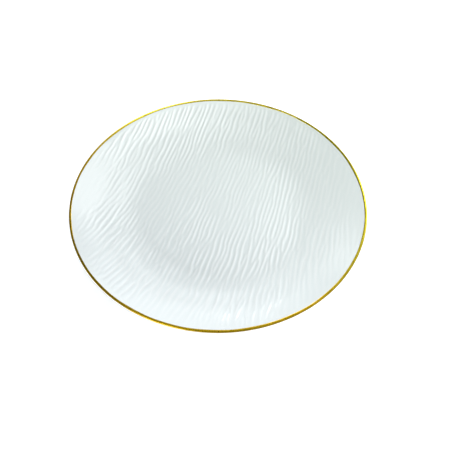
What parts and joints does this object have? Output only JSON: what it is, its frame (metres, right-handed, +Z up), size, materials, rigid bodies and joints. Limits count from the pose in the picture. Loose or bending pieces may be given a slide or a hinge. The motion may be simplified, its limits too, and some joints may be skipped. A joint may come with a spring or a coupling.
{
  "type": "oval serving platter",
  "caption": "Oval porcelain serving platter with a flat-floored shallow well, flared sides, a rippled glazed upper face and a gilt line round the lip.",
  "frame": {"origin": "centre of the foot ring's bearing plane, which is the bottom centre of the platter", "axes": "+X along the platter's length, +Y across its width, +Z up out of the well"},
  "size_m": [0.36, 0.29, 0.03],
  "materials": {
    "bisque": "matte",
    "glaze": "gloss",
    "gilt": "polished"
  },
  "bodies": {
    "root": {"porcelain_body": "bisque", "glaze_coat_outer": "glaze", "glaze_coat_recess": "glaze", "gilt_rim_band": "gilt"}
  },
  "joints": []
}
